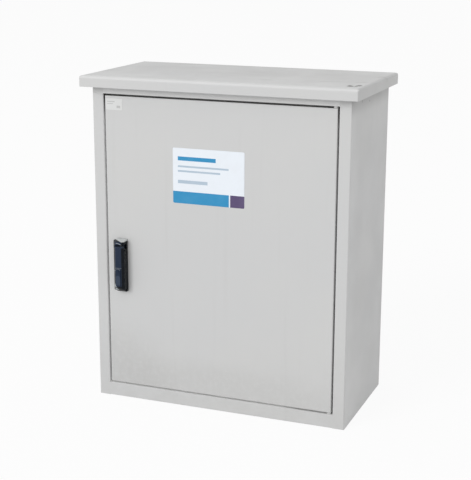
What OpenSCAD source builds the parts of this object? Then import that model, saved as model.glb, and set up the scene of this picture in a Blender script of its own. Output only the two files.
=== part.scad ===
// Roadside utility cabinet: folded casing, cap roof, inset door on corner pivots,
// swing handle with rod lock.
// Millimetres, +Z up, front towards -Y, origin at the middle of the base.

/* [Casing] */
// Width across the sides
body_w = 800; // [760:5:900]
// Depth from the front face to the back
body_d = 400; // [380:5:480]
// Height of the casing without its roof
body_h = 997; // [960:1:1100]
// Sheet thickness of the casing
sheet_t = 2; // [1.5:0.1:2.2]
// Outer radius of the upright bends
corner_r = 4; // [3:0.5:6]
// Outer radius of the bends around the door opening
edge_r = 3; // [2.5:0.1:4]
// Width of the front stiles
stile_w = 36; // [32:1:42]
// Height of the lower front rail
low_rail_h = 42; // [36:1:50]
// Height of the upper front rail
top_rail_h = 47; // [44:1:56]
// Depth of the recess that takes the door
recess_d = 27; // [26:0.5:30]
// Width of the stop lip on the lock side
lock_lip_w = 26; // [22:1:27]
// Width of the other stop lips
stop_lip_w = 36; // [34:1:42]
// Height of the welded flanges inside the casing
weld_flange_h = 20; // [14:1:30]

/* [Base] */
// Distance of the anchor holes from the sides
anchor_side_in = 50; // [45:1:70]
// Distance of the anchor holes from the front and the back
anchor_end_in = 40; // [35:1:50]
// Diameter of the anchor holes
anchor_d = 14; // [11:0.5:18]
// Width of the cable opening in the floor
cable_w = 560; // [480:5:590]
// Depth of the cable opening in the floor
cable_d = 180; // [150:5:190]
// Width of the rim on which the gland plate lies
gland_rim = 20; // [16:1:24]
// Thickness of the gland plate
gland_t = 2; // [1.5:0.1:3]
// Thickness of the gland plate's gasket
gland_seal_t = 3; // [2:0.5:4]
// Diameter of the cable grommets' holes
grommet_d = 60; // [45:1:70]
// Spacing of the cable grommets
grommet_pitch = 125; // [110:1:130]

/* [Roof] */
// Roof overhang at the front
roof_front = 34; // [26:1:45]
// Roof overhang at each side
roof_side = 26.5; // [18:0.5:35]
// Roof overhang at the back
roof_rear = 5; // [4:0.5:12]
// Height of the roof's fascia
fascia_h = 33; // [26:1:36]
// Sheet thickness of the roof
roof_t = 2; // [1.5:0.1:2.5]
// Outer radius of the roof's bends
roof_r = 9; // [5:0.5:10]
// Outer radius of the roof's upright corners
roof_corner_r = 5; // [4:0.5:10]
// Width of the inward return under the fascia
roof_return = 9; // [6:0.5:11]
// Thickness of the roof seal
roof_seal_t = 5.5; // [3:0.5:8]
// Width of the roof seal
roof_seal_w = 15; // [10:1:20]
// Distance of the roof studs from the casing's sides
roof_stud_side_in = 70; // [60:1:100]
// Distance of the roof studs from the casing's front and back
roof_stud_end_in = 60; // [55:1:80]
// Width of the dent near the roof's front corner
dent_d = 38; // [24:1:44]
// Depth of the dent
dent_depth = 2; // [0.6:0.1:2.2]
// Distance of the dent's middle from the roof's side edge
dent_side_in = 35.5; // [32:0.5:40]
// Distance of the dent's middle from the roof's front edge
dent_front_in = 74; // [68:1:95]

/* [Door] */
// Gap between the door and its opening
door_gap = 5; // [4:0.1:5.5]
// Depth of the door pan
door_t = 20; // [18:0.5:20.5]
// Sheet thickness of the door
door_sheet = 2; // [1.5:0.1:2]
// Outer radius of the bends at the door's front edges
door_r = 2.5; // [2.2:0.1:3]
// Width of the inward lips at the back of the door
door_lip_w = 30; // [29:1:34]
// Width of the door seal
seal_w = 12; // [9:0.5:12]
// Distance of the seal from the door's edge
seal_in = 16; // [15:0.5:16.5]
// Distance of the seal from the edge on the lock side
seal_lock_in = 6; // [4:0.5:7]
// Free gap between the door seal and the stop lip
seal_clear = 0.3; // [0.3:0.1:0.6]
// Width of the door stiffeners' crown
stiff_w = 40; // [30:1:60]
// Depth of the door stiffeners
stiff_d = 15; // [10:1:16]
// Width of the door stiffeners' feet
stiff_foot = 14; // [10:1:20]
// Sideways place of the lock side stiffener
stiff_lock_x = -120; // [-150:1:-100]
// Sideways place of the hinge side stiffener
stiff_hinge_x = 150; // [100:1:200]

/* [Hinges] */
// Distance of the pivot axis from the door's edge
pivot_in = 7; // [6.8:0.1:7.3]
// Distance of the pivot axis behind the door's face
pivot_back = 7.5; // [7:0.1:7.8]
// Diameter of the pivot pins
pin_d = 6; // [5:0.1:6]
// Diameter of the pivot collars
collar_d = 12; // [10:0.1:12.5]
// Outer diameter of the pivot bushes
bush_d = 9; // [8.4:0.1:9.4]
// Length of the pivot bushes
bush_l = 14; // [10:0.5:18]
// Free gap between the collars and the door
collar_clear = 0.4; // [0.3:0.1:0.8]

/* [Handle] */
// Height of the handle's lower end
handle_z = 348; // [330:1:400]
// Distance of the handle's middle from the door's edge
handle_in = 48; // [47.5:0.5:56]
// Length of the handle base
base_l = 165; // [158:1:175]
// Width of the handle base
base_w = 35.5; // [35.5:0.5:37]
// Thickness of the handle base
base_t = 8; // [7.5:0.1:10]
// Corner radius of the handle base
base_r = 2.5; // [2:0.5:8]
// Height of the block at the base's top, above the lever's round head
wedge_h = 13.2; // [11:0.1:14]
// Drop of the block's top towards its front
wedge_drop = 4; // [2:0.5:8]
// Free gap between the lever's round head and its seat in the block
head_clear = 1.3; // [1.2:0.1:2]
// Thickness of the gasket under the handle base
base_seal_t = 1; // [0.6:0.1:1.5]
// Width of the lever
lever_w = 35; // [33:0.5:35]
// Width of the lever's flat front
lever_face_w = 17.5; // [16:0.5:19]
// Thickness of the lever
lever_t = 23; // [22:0.1:24]
// Thickness of the lever's square-edged back
lever_side_t = 15; // [13:0.5:16]
// Reach of the lever's rounded nose past its pin
lever_nose_r = 13; // [12:0.5:13]
// Gap of the lever's lower end from the base's end
lever_end_in = 4; // [3:0.5:8]
// Free gap between the lever and the base
lever_clear = 0.5; // [0.4:0.1:1]
// Depth of the lever pin behind the lever's face
lever_pin_in = 10; // [9.8:0.1:10.4]
// Diameter of the lever pin
lever_pin_d = 5; // [4:0.1:5.5]
// Diameter of the lock cylinder
lock_d = 13; // [12:0.1:13.5]
// Diameter of the lock plug
plug_d = 9; // [8:0.1:9.5]
// Height of the lock above the handle's lower end
lock_z = 32; // [29:0.5:36]
// Width of the dust cover
cover_w = 15; // [14.5:0.1:17]
// Length of the dust cover
cover_l = 57; // [54:1:60]
// Thickness of the dust cover
cover_t = 3; // [2:0.1:4]
// Free gap of moving pieces that slide past each other
slide_clear = 0.35; // [0.3:0.05:0.5]

/* [Rod lock] */
// Module of the pinion's teeth
gear_m = 1.5; // [1.45:0.01:1.5]
// Diameter of the spindle's head
spindle_head_d = 22; // [20:0.1:23]
// Diameter of the spindle's shaft
spindle_d = 12; // [10.5:0.1:12.4]
// Thickness of the lock rods
rod_t = 5; // [4:0.1:5.4]
// Width of the lock rods
rod_w = 8; // [7:0.1:8]
// Gap from the stop lips to the ends of the drawn-in rods
rod_end_gap = 3; // [2:0.5:5]
// Gap from the stop lip's back to the rods
rod_lip_gap = 0.6; // [0.4:0.1:1]
// Height of the lock bracket
bracket_h = 24; // [22:0.5:26]
// Sheet thickness of the brackets
bracket_t = 2; // [1.5:0.1:2]

/* [Inside] */
// Width of the mounting plate
plate_w = 640; // [560:5:680]
// Height of the mounting plate
plate_h = 740; // [640:5:760]
// Height of the mounting plate's lower edge
plate_z = 170; // [160:5:190]
// Sheet thickness of the mounting plate
plate_t = 2; // [1.5:0.1:3]
// Depth of the mounting plate's folded edges
plate_fold = 14; // [8:1:20]
// Distance from the back wall to the mounting plate's face
plate_gap = 46; // [36:1:60]
// Distance of the plate studs from the plate's edges
plate_stud_in = 40; // [30:1:60]
// Height of the cable rail
rail_z = 105; // [95:1:115]
// Width of the cable rail
rail_w = 30; // [26:1:36]
// Depth of the cable rail
rail_d = 16; // [14:1:20]
// Distance from the back wall to the cable rail's front
rail_gap = 70; // [64:1:80]
// Width of the cable rail's slot
rail_slot = 14; // [11:0.5:16]
// Sheet thickness of the cable rail
rail_t = 2; // [1.5:0.1:2.5]
// Length of the earth bar
earth_l = 320; // [260:5:400]
// Height of the earth bar's section
earth_h = 25; // [20:1:30]
// Thickness of the earth bar
earth_t = 5; // [4:0.5:8]
// Distance of the earth bar's supports from its ends
earth_support_in = 25; // [20:1:32]
// Distance of the first earth bolt from the bar's end
earth_bolt_in = 55; // [50:1:70]
// Height of the earth bar above the mounting plate's lower edge
earth_up = 90; // [80:1:120]
// Depth of the earth bar's supports
earth_stand = 20; // [15:1:30]

/* [Hidden] */
$fn = 48;
run_clear = 0.05;
hole_clear = 0.3;
cut = 1;
half_w = body_w / 2;
relief_x = half_w - corner_r;
flange_x = relief_x - 2 * sheet_t;
front_y = -body_d / 2;
back_y = body_d / 2;
open_x = half_w - stile_w;
open_z0 = low_rail_h;
open_z1 = body_h - top_rail_h;
lip_y = front_y + recess_d;
lip_back = lip_y + sheet_t;
door_x = open_x - door_gap;
door_z0 = open_z0 + door_gap;
door_z1 = open_z1 - door_gap;
door_in = front_y + door_sheet;
door_back = front_y + door_t;
seal_t = recess_d - door_t - seal_clear;
hinge_x = door_x - pivot_in;
hinge_y = front_y + pivot_back;
roof_under = body_h + roof_seal_t;
roof_top = roof_under + roof_t;
roof_low = roof_top - fascia_h;
roof_x = half_w + roof_side;
roof_y0 = front_y - roof_front;
roof_y1 = back_y + roof_rear;
roof_stud_x = body_w - 2 * roof_stud_side_in;
roof_stud_y = body_d - 2 * roof_stud_end_in;
dent_r = (dent_d * dent_d / 4 + dent_depth * dent_depth) / (2 * dent_depth);
roof_seal_in = 10;
stud_d = 8;
stud_reach = 16;
nut_af = 13;
nut_h = 8;
nut_flange_d = 18;
nut_flange_h = 2;
anchor_x = body_w - 2 * anchor_side_in;
anchor_y = body_d - 2 * anchor_end_in;
cable_y = 20;
gland_w = cable_w + 2 * gland_rim;
gland_d = cable_d + 2 * gland_rim;
gland_z = sheet_t + gland_seal_t;
gland_screw_d = 6;
gland_screw_x = gland_w / 2 - gland_rim / 2;
gland_screw_y = gland_d / 2 - gland_rim / 2;
head_d = 11;
head_h = 4;
grommet_n = 4;
grommet_lip = 6;
grommet_lip_h = 4;
grommet_cone_h = 24;
grommet_cone_d = 30;
grommet_skin = 2;
handle_x = -(door_x - handle_in);
base_back = front_y - base_seal_t;
base_front = base_back - base_t;
handle_top = handle_z + base_l;
seat_r = lever_w / 2 + head_clear;
spindle_z = handle_top - wedge_h - seat_r;
lever_back = base_front - lever_clear;
lever_face = lever_back - lever_t;
lever_pin_y = lever_face + lever_pin_in;
lever_low = handle_z + lever_end_in;
lever_end_r = 20;
lever_relief_y = 1.7;
lug_w = 8;
lug_r = 5;
lug_up = 4.8;
lug_front = 1.2;
lever_pin_l = 28;
lock_up = handle_z + lock_z;
lock_back_in = 15;
lock_face_in = 0.8;
plug_back_in = 13;
key_w = 1.4;
key_h = 6;
key_in = 3;
cover_end_in = 20;
cover_flat = 0.25;
cover_low = handle_z + cover_end_in;
cover_top = cover_low + cover_l;
cover_pin_z = cover_top - cover_w / 2;
cover_back = lever_face - slide_clear;
cover_face = cover_back - cover_t;
rivet_d = 4;
rivet_head_d = 7;
rivet_head_h = 1.5;
rivet_in = 6;
gear_n = 16;
gear_r = gear_m * gear_n / 2;
gear_angle = 20;
gear_add_share = 0.9;
gear_ded_share = 1.15;
gear_add = gear_add_share * gear_m;
gear_ded = gear_ded_share * gear_m;
gear_slack = 0.12;
gear_pitch = PI * gear_m;
gear_base = gear_r * cos(gear_angle);
gear_tip = gear_r + gear_add;
gear_root = gear_r - gear_ded;
gear_steps = 6;
rod_y0 = lip_back + rod_lip_gap;
rod_y1 = rod_y0 + rod_t;
gear_over = 0.6;
gear_y0 = rod_y0 - gear_over;
gear_y1 = rod_y1 + gear_over;
square_w = 8;
web_gap = 0.5;
web_back = gear_y0 - web_gap;
web_front = web_back - bracket_t;
rack_back_x = gear_r + gear_ded;
rack_out_x = rack_back_x + rod_w;
rack_near_n = 2;
rack_far_n = 6;
rod_travel = gear_r * PI / 2;
rod_up_end = open_z1 - stop_lip_w - rod_end_gap;
rod_low_end = open_z0 + stop_lip_w + rod_end_gap;
bracket_in_x = rack_out_x + slide_clear;
bracket_out_x = bracket_in_x + bracket_t;
flange_over = 1;
bracket_flange_y = rod_y1 + flange_over;
foot_l = 20;
foot_w = 22;
screw_d = 6;
screw_in = 5.5;
screw_head_af = 10;
screw_head_h = 4;
pivot_nut_af = 9;
screw_low_in = 18;
upper_foot_z = spindle_z + bracket_h / 2;
lower_foot_z = spindle_z - bracket_h / 2;
upper_screw_z = upper_foot_z + foot_l / 2 + bracket_t / 2;
lower_screw_z = lower_foot_z - foot_l / 2 - bracket_t / 2;
low_screw_z = handle_z + screw_low_in;
spindle_hole_clear = 3;
door_spindle_d = spindle_head_d + spindle_hole_clear;
end_screw_d = 5;
end_screw_in = 8;
end_head_af = 8;
end_washer_d = 15;
end_washer_h = 1.5;
guide_in = 60;
guide_x0 = 1;
guide_x1 = rack_back_x;
guide_rim = 3;
guide_reach = 6;
plate_face = back_y - sheet_t - plate_gap;
stud_x = plate_w / 2 - plate_stud_in;
stud_z0 = plate_z + plate_stud_in;
stud_z1 = plate_z + plate_h - plate_stud_in;
stud_seat_d = 16;
plate_stud_reach = 14;
rail_y = back_y - sheet_t - rail_gap;
rail_l = body_w - 2 * sheet_t - 2 * slide_clear;
bracket_leg = 40;
rail_bolt_d = 8;
rail_bolt_in = 22;
earth_z = plate_z + earth_up;
earth_support_x = earth_l / 2 - earth_support_in;
earth_support_w = 20;
earth_bolt_n = 5;
earth_bolt_d = 8;
earth_bolt_l = 16;
earth_pitch = (earth_l - 2 * earth_bolt_in) / (earth_bolt_n - 1);
grey = [0.80, 0.80, 0.80];
zinc = [0.70, 0.71, 0.72];
black = [0.06, 0.06, 0.07];
seal_black = [0.09, 0.09, 0.09];
copper = [0.72, 0.45, 0.28];
nylon = [0.85, 0.83, 0.76];
nickel = [0.75, 0.72, 0.62];
brass = [0.80, 0.74, 0.50];

// Shared shapes
module along_x(x0, x1) {
  translate([x0, 0, 0])
    rotate([90, 0, 90])
      linear_extrude(x1 - x0)
        children();
}

module along_y(y0, y1) {
  translate([0, y1, 0])
    rotate([90, 0, 0])
      linear_extrude(y1 - y0)
        children();
}

module box(x0, x1, y0, y1, z0, z1) {
  translate([x0, y0, z0])
    cube([x1 - x0, y1 - y0, z1 - z0]);
}

module rod_along_y(x, z, y0, y1, d) {
  translate([x, y1, z])
    rotate([90, 0, 0])
      cylinder(h = y1 - y0, d = d);
}

module hex_along_y(x, z, y0, y1, af) {
  translate([x, y1, z])
    rotate([90, 0, 0])
      cylinder(h = y1 - y0, d = af / cos(30), $fn = 6);
}

module rect(x0, x1, y0, y1) {
  translate([x0, y0])
    square([x1 - x0, y1 - y0]);
}

module bend(x, y, sx, sy, r, t) {
  translate([x, y])
    intersection() {
      difference() {
        circle(r = r);
        circle(r = r - t);
      }
      translate([sx < 0 ? -r : 0, sy < 0 ? -r : 0])
        square([r, r]);
    }
}

module round_top(x0, x1, y0, y1, r) {
  rect(x0, x1, y0, y1 - r);
  rect(x0 + r, x1 - r, y0, y1);
  translate([x0 + r, y1 - r])
    circle(r = r);
  translate([x1 - r, y1 - r])
    circle(r = r);
}

module round_rect(x0, x1, y0, y1, r) {
  rect(x0 + r, x1 - r, y0, y1);
  rect(x0, x1, y0 + r, y1 - r);
  for (x = [x0 + r, x1 - r])
    for (y = [y0 + r, y1 - r])
      translate([x, y])
        circle(r = r);
}

module ring_y(x0, x1, z0, z1, y0, y1, w_left, w_right, w_low, w_top) {
  difference() {
    box(x0, x1, y0, y1, z0, z1);
    box(x0 + w_left, x1 - w_right, y0 - cut, y1 + cut, z0 + w_low, z1 - w_top);
  }
}

module flange_nut(d) {
  difference() {
    union() {
      cylinder(h = nut_h, d = nut_af / cos(30), $fn = 6);
      cylinder(h = nut_flange_h, d = nut_flange_d);
    }
    translate([0, 0, -cut])
      cylinder(h = nut_h + 2 * cut, d = d + 2 * run_clear);
  }
}

// Folded section around the door opening, in plan, for the side at positive x
module recess_fold(lip_w) {
  bend(open_x + edge_r, front_y + edge_r, -1, -1, edge_r, sheet_t);
  rect(open_x, open_x + sheet_t, front_y + edge_r, lip_back - edge_r);
  bend(open_x + sheet_t - edge_r, lip_back - edge_r, 1, 1, edge_r, sheet_t);
  rect(open_x - lip_w, open_x + sheet_t - edge_r, lip_y, lip_back);
}

module side_fold() {
  rect(open_x + edge_r, half_w - corner_r, front_y, front_y + sheet_t);
  bend(half_w - corner_r, front_y + corner_r, 1, -1, corner_r, sheet_t);
  rect(half_w - sheet_t, half_w, front_y + corner_r, back_y - corner_r);
  bend(half_w - corner_r, back_y - corner_r, 1, 1, corner_r, sheet_t);
}

module stile_end() {
  rect(open_x, open_x + edge_r, front_y, front_y + sheet_t);
}

// Casing
module casing_wrap() {
  color(grey) {
    linear_extrude(body_h)
      rect(corner_r - half_w, half_w - corner_r, back_y - sheet_t, back_y);
    for (side = [0, 1])
      mirror([side, 0, 0]) {
        linear_extrude(body_h)
          side_fold();
        linear_extrude(open_z0)
          stile_end();
        translate([0, 0, open_z1])
          linear_extrude(top_rail_h)
            stile_end();
        translate([0, 0, open_z0])
          linear_extrude(open_z1 - open_z0)
            recess_fold(side == 1 ? lock_lip_w : stop_lip_w);
      }
  }
}

// Front rail of the top panel, as a section in y and z
module top_rail() {
  bend(front_y + edge_r, open_z1 + edge_r, -1, -1, edge_r, sheet_t);
  rect(front_y, front_y + sheet_t, open_z1 + edge_r, body_h - corner_r);
  bend(front_y + corner_r, body_h - corner_r, -1, 1, corner_r, sheet_t);
  rect(front_y + edge_r, lip_back - edge_r, open_z1, open_z1 + sheet_t);
}

module top_lip() {
  bend(lip_back - edge_r, open_z1 + sheet_t - edge_r, 1, 1, edge_r, sheet_t);
  rect(lip_y, lip_back, open_z1 - stop_lip_w, open_z1 + sheet_t - edge_r);
}

module top_panel() {
  inner_x = half_w - sheet_t;
  color(grey)
    difference() {
      union() {
        along_x(-open_x, open_x)
          top_rail();
        along_x(-(open_x - lock_lip_w), open_x - stop_lip_w)
          top_lip();
        box(-inner_x, inner_x, front_y + corner_r, back_y - corner_r, body_h - sheet_t, body_h);
        box(-relief_x, relief_x, front_y + corner_r, back_y - sheet_t, body_h - sheet_t, body_h);
        for (side = [0, 1])
          mirror([side, 0, 0])
            box(inner_x - sheet_t, inner_x, front_y + corner_r, back_y - corner_r,
              body_h - weld_flange_h, body_h - sheet_t / 2);
        box(-flange_x, flange_x, back_y - 2 * sheet_t, back_y - sheet_t,
          body_h - weld_flange_h, body_h - sheet_t / 2);
      }
      for (x = [-roof_stud_x / 2, roof_stud_x / 2])
        for (y = [-roof_stud_y / 2, roof_stud_y / 2])
          translate([x, y, body_h - sheet_t - cut])
            cylinder(h = sheet_t + 2 * cut, d = stud_d + 2 * hole_clear);
      translate([hinge_x, hinge_y, open_z1 - cut])
        cylinder(h = sheet_t + 2 * cut, d = pin_d + 2 * run_clear);
    }
}

// Front rail of the floor panel, as a section in y and z
module low_rail() {
  bend(front_y + edge_r, open_z0 - edge_r, -1, 1, edge_r, sheet_t);
  rect(front_y, front_y + sheet_t, edge_r, open_z0 - edge_r);
  bend(front_y + edge_r, edge_r, -1, -1, edge_r, sheet_t);
  rect(front_y + edge_r, lip_back - edge_r, open_z0 - sheet_t, open_z0);
}

module low_lip() {
  bend(lip_back - edge_r, open_z0 - sheet_t + edge_r, 1, -1, edge_r, sheet_t);
  rect(lip_y, lip_back, open_z0 - sheet_t + edge_r, open_z0 + stop_lip_w);
}

module floor_panel() {
  inner_x = half_w - sheet_t;
  color(grey)
    difference() {
      union() {
        along_x(-open_x, open_x)
          low_rail();
        along_x(-(open_x - lock_lip_w), open_x - stop_lip_w)
          low_lip();
        box(-inner_x, inner_x, front_y + corner_r, back_y - corner_r, 0, sheet_t);
        box(-relief_x, relief_x, front_y + edge_r, back_y - sheet_t, 0, sheet_t);
        for (side = [0, 1])
          mirror([side, 0, 0])
            box(inner_x - sheet_t, inner_x, front_y + corner_r, back_y - corner_r,
              sheet_t / 2, weld_flange_h);
        box(-flange_x, flange_x, back_y - 2 * sheet_t, back_y - sheet_t, sheet_t / 2, weld_flange_h);
      }
      box(-cable_w / 2, cable_w / 2, cable_y - cable_d / 2, cable_y + cable_d / 2, -cut, sheet_t + cut);
      for (x = [-anchor_x / 2, anchor_x / 2])
        for (y = [-anchor_y / 2, anchor_y / 2])
          translate([x, y, -cut])
            cylinder(h = sheet_t + 2 * cut, d = anchor_d);
      gland_screw_holes(gland_screw_d + 2 * run_clear);
      translate([hinge_x, hinge_y, open_z0 - sheet_t - cut])
        cylinder(h = sheet_t + 2 * cut, d = pin_d + 2 * run_clear);
    }
}

// Roof
module roof_plan(inset) {
  round_rect(inset - roof_x, roof_x - inset, roof_y0 + inset, roof_y1 - inset, roof_corner_r - inset);
}

module roof_block(inset, r) {
  intersection() {
    translate([0, 0, roof_low - 2 * cut])
      linear_extrude(fascia_h + 3 * cut)
        roof_plan(inset);
    along_y(roof_y0 + inset, roof_y1 - inset)
      round_top(inset - roof_x, roof_x - inset, roof_low - (inset > 0 ? cut : 0), roof_top - inset, r);
    along_x(inset - roof_x, roof_x - inset)
      round_top(roof_y0 + inset, roof_y1 - inset, roof_low - (inset > 0 ? cut : 0), roof_top - inset, r);
  }
}

// Ball that pressed the dent, grown by a sheet thickness for the bulge below, up to a height above the roof
module dent_ball(grow, up) {
  translate([roof_x - dent_side_in, roof_y0 + dent_front_in, roof_top])
    rotate_extrude()
      intersection() {
        translate([0, dent_r - dent_depth])
          circle(r = dent_r + grow);
        rect(0, dent_d, -dent_d, up);
      }
}

module roof_cap() {
  in_x = roof_x - roof_t / 2;
  in_y = roof_y0 + roof_t / 2;
  color(grey) {
    difference() {
      union() {
        difference() {
          roof_block(0, roof_r);
          roof_block(roof_t, roof_r - roof_t);
        }
        dent_ball(roof_t, -roof_t / 2);
      }
      dent_ball(0, cut);
    }
    intersection() {
      translate([0, 0, roof_low - cut])
        linear_extrude(fascia_h)
          roof_plan(roof_t / 2);
      union() {
        box(-in_x, in_x, in_y, in_y + roof_t / 2 + roof_return, roof_low, roof_low + roof_t);
        for (side = [0, 1])
          mirror([side, 0, 0])
            box(roof_x - roof_t - roof_return, in_x, in_y, roof_y1 - roof_t / 2,
              roof_low, roof_low + roof_t);
      }
    }
    for (x = [-roof_stud_x / 2, roof_stud_x / 2])
      for (y = [-roof_stud_y / 2, roof_stud_y / 2])
        translate([x, y, body_h - sheet_t - stud_reach])
          cylinder(h = roof_under + roof_t / 2 - body_h + sheet_t + stud_reach, d = stud_d);
  }
}

module roof_seal() {
  out_x = half_w - roof_seal_in;
  out_y = back_y - roof_seal_in;
  color(black)
    difference() {
      box(-out_x, out_x, -out_y, out_y, body_h, roof_under);
      box(roof_seal_w - out_x, out_x - roof_seal_w, roof_seal_w - out_y, out_y - roof_seal_w,
        body_h - cut, roof_under + cut);
      dent_ball(roof_t + slide_clear, 0);
    }
}

module roof_nuts() {
  color(zinc)
    for (x = [-roof_stud_x / 2, roof_stud_x / 2])
      for (y = [-roof_stud_y / 2, roof_stud_y / 2])
        translate([x, y, body_h - sheet_t])
          rotate([180, 0, 0])
            flange_nut(stud_d);
}

// Cable entry
module gland_screw_holes(d) {
  for (x = [-gland_screw_x, 0, gland_screw_x])
    for (y = [-gland_screw_y, gland_screw_y])
      translate([x, cable_y + y, -cut])
        cylinder(h = gland_z + gland_t + 2 * cut, d = d);
}

module gland_plate() {
  color(zinc)
    difference() {
      box(-gland_w / 2, gland_w / 2, cable_y - gland_d / 2, cable_y + gland_d / 2,
        gland_z, gland_z + gland_t);
      gland_screw_holes(gland_screw_d + 2 * hole_clear);
      for (i = [0 : grommet_n - 1])
        translate([(i - (grommet_n - 1) / 2) * grommet_pitch, cable_y, gland_z - cut])
          cylinder(h = gland_t + 2 * cut, d = grommet_d);
    }
}

module gland_gasket() {
  color(black)
    difference() {
      box(-gland_w / 2, gland_w / 2, cable_y - gland_d / 2, cable_y + gland_d / 2, sheet_t, gland_z);
      box(-cable_w / 2, cable_w / 2, cable_y - cable_d / 2, cable_y + cable_d / 2,
        sheet_t - cut, gland_z + cut);
      gland_screw_holes(gland_screw_d + 2 * hole_clear);
    }
}

module gland_screws() {
  color(zinc)
    for (x = [-gland_screw_x, 0, gland_screw_x])
      for (y = [-gland_screw_y, gland_screw_y])
        translate([x, cable_y + y, 0]) {
          translate([0, 0, sheet_t / 2])
            cylinder(h = gland_z + gland_t, d = gland_screw_d);
          translate([0, 0, gland_z + gland_t])
            cylinder(h = head_h, d = head_d);
        }
}

module cable_grommets() {
  seat_r = grommet_d / 2 - run_clear;
  color(black)
    for (i = [0 : grommet_n - 1])
      translate([(i - (grommet_n - 1) / 2) * grommet_pitch, cable_y, 0])
        rotate_extrude()
          polygon([
            [0, gland_z + gland_t + grommet_cone_h],
            [grommet_cone_d / 2, gland_z + gland_t + grommet_cone_h],
            [seat_r - grommet_skin, gland_z + gland_t + grommet_lip_h],
            [seat_r + grommet_lip, gland_z + gland_t + grommet_lip_h],
            [seat_r + grommet_lip, gland_z + gland_t],
            [seat_r, gland_z + gland_t],
            [seat_r, gland_z],
            [seat_r + grommet_lip, gland_z],
            [seat_r + grommet_lip, gland_z - grommet_skin],
            [seat_r - 2 * grommet_skin, gland_z - grommet_skin],
            [grommet_cone_d / 2 - grommet_skin, gland_z + gland_t + grommet_cone_h - grommet_skin],
            [0, gland_z + gland_t + grommet_cone_h - grommet_skin]
          ]);
}

// Mounting plate
module plate_points() {
  for (x = [-stud_x, stud_x])
    for (z = [stud_z0, stud_z1])
      translate([x, 0, z])
        children();
}

module mounting_plate() {
  fold_back = plate_face + plate_fold;
  color(zinc)
    difference() {
      box(-plate_w / 2, plate_w / 2, plate_face, fold_back, plate_z, plate_z + plate_h);
      box(plate_t - plate_w / 2, plate_w / 2 - plate_t, plate_face + plate_t, fold_back + cut,
        plate_z + plate_t, plate_z + plate_h - plate_t);
      plate_points()
        rod_along_y(0, 0, plate_face - cut, plate_face + plate_t + cut, stud_d + 2 * hole_clear);
      for (x = [-earth_support_x, earth_support_x])
        rod_along_y(x, earth_z, plate_face - cut, plate_face + plate_t + cut, screw_d + 2 * run_clear);
    }
}

module plate_studs() {
  color(zinc)
    plate_points() {
      rod_along_y(0, 0, plate_face + plate_t, back_y - sheet_t, stud_seat_d);
      rod_along_y(0, 0, plate_face - plate_stud_reach, plate_face + plate_t + cut, stud_d);
    }
}

module plate_nuts() {
  color(zinc)
    plate_points()
      translate([0, plate_face, 0])
        rotate([90, 0, 0])
          flange_nut(stud_d);
}

// Cable rail
module rail_section() {
  rect(rail_y, rail_y + rail_d, rail_z, rail_z + rail_t);
  rect(rail_y, rail_y + rail_d, rail_z + rail_w - rail_t, rail_z + rail_w);
  rect(rail_y + rail_d - rail_t, rail_y + rail_d, rail_z, rail_z + rail_w);
  rect(rail_y, rail_y + rail_t, rail_z, rail_z + (rail_w - rail_slot) / 2);
  rect(rail_y, rail_y + rail_t, rail_z + (rail_w + rail_slot) / 2, rail_z + rail_w);
}

module rail_bolt_points() {
  for (x = [rail_bolt_in - rail_l / 2, rail_l / 2 - rail_bolt_in])
    translate([x, 0, rail_z + rail_w / 2])
      children();
}

module cable_rail() {
  color(zinc)
    difference() {
      along_x(-rail_l / 2, rail_l / 2)
        rail_section();
      rail_bolt_points()
        rod_along_y(0, 0, rail_y + rail_d - rail_t - cut, rail_y + rail_d + cut,
          rail_bolt_d + 2 * hole_clear);
    }
}

module rail_brackets() {
  y0 = rail_y + rail_d;
  color(grey)
    for (side = [0, 1])
      mirror([side, 0, 0])
        difference() {
          union() {
            box(half_w - sheet_t - bracket_leg, half_w - sheet_t, y0, y0 + bracket_t,
              rail_z, rail_z + rail_w);
            box(half_w - sheet_t - bracket_t, half_w - sheet_t, y0, y0 + bracket_leg,
              rail_z, rail_z + rail_w);
          }
          rod_along_y(rail_l / 2 - rail_bolt_in, rail_z + rail_w / 2, y0 - cut, y0 + bracket_t + cut,
            rail_bolt_d + 2 * run_clear);
        }
}

module rail_bolts() {
  y0 = rail_y + rail_d - rail_t;
  color(zinc)
    rail_bolt_points() {
      rod_along_y(0, 0, y0 - cut, rail_y + rail_d + bracket_leg / 4, rail_bolt_d);
      hex_along_y(0, 0, y0 - screw_head_h, y0, nut_af);
    }
}

// Earth bar
module earth_bolt_points() {
  for (i = [0 : earth_bolt_n - 1])
    translate([(i - (earth_bolt_n - 1) / 2) * earth_pitch, 0, earth_z])
      children();
}

module earth_bar() {
  y1 = plate_face - earth_stand;
  color(copper)
    difference() {
      box(-earth_l / 2, earth_l / 2, y1 - earth_t, y1, earth_z - earth_h / 2, earth_z + earth_h / 2);
      earth_bolt_points()
        rod_along_y(0, 0, y1 - earth_t - cut, y1 + cut, earth_bolt_d + 2 * run_clear);
      for (x = [-earth_support_x, earth_support_x])
        rod_along_y(x, earth_z, y1 - earth_t - cut, y1 + cut, screw_d + 2 * hole_clear);
    }
}

module earth_supports() {
  y0 = plate_face - earth_stand;
  color(zinc)
    for (x = [-earth_support_x, earth_support_x]) {
      hex_along_y(x, earth_z, y0, plate_face, earth_support_w);
      rod_along_y(x, earth_z, y0 - earth_t - cut, y0 + cut, screw_d);
      rod_along_y(x, earth_z, plate_face - cut, plate_face + plate_t + 2 * cut, screw_d);
      hex_along_y(x, earth_z, y0 - earth_t - screw_head_h, y0 - earth_t, screw_head_af);
    }
}

module earth_bolts() {
  y1 = plate_face - earth_stand;
  color(zinc)
    earth_bolt_points() {
      rod_along_y(0, 0, y1 - earth_t - cut, y1 - earth_t + earth_bolt_l, earth_bolt_d);
      hex_along_y(0, 0, y1 - earth_t - screw_head_h, y1 - earth_t, nut_af);
    }
}

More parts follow.
